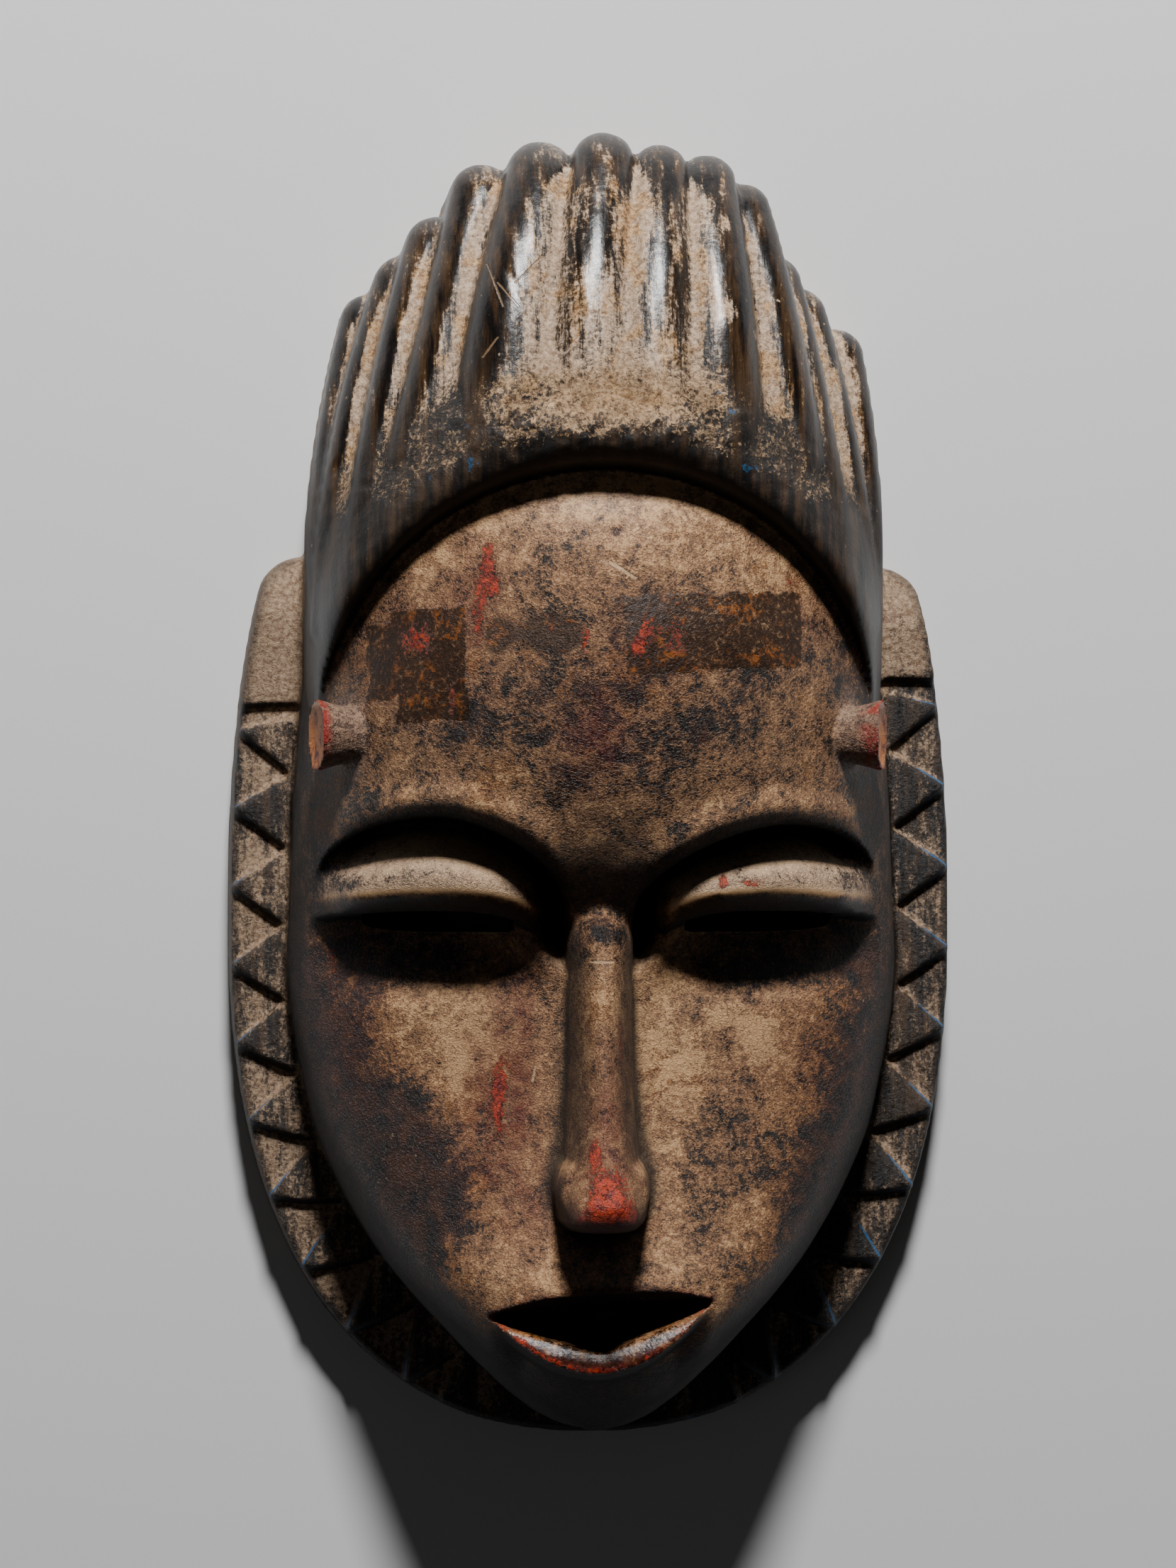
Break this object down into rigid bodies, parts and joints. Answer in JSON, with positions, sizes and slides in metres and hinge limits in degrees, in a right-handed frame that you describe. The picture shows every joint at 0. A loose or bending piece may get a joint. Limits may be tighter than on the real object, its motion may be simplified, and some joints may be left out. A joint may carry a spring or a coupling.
{
  "type": "carved wooden mask",
  "caption": "Oval carved wooden face mask with lowered lids, long nose, parted lips, ridged hair, ear pegs and a toothed collar, hollow behind.",
  "frame": {"origin": "middle of the mask's plan, on the plane of its flat back rim", "axes": "+Z out of the face, +Y towards the crown of the hair, +X to the right as one looks at the face"},
  "size_m": [0.2046, 0.3616, 0.1083],
  "materials": {
    "carved_wood": "aged, dark stained and waxed, dusty in the hollows"
  },
  "bodies": {
    "root": {"mask": "carved_wood"}
  },
  "joints": []
}
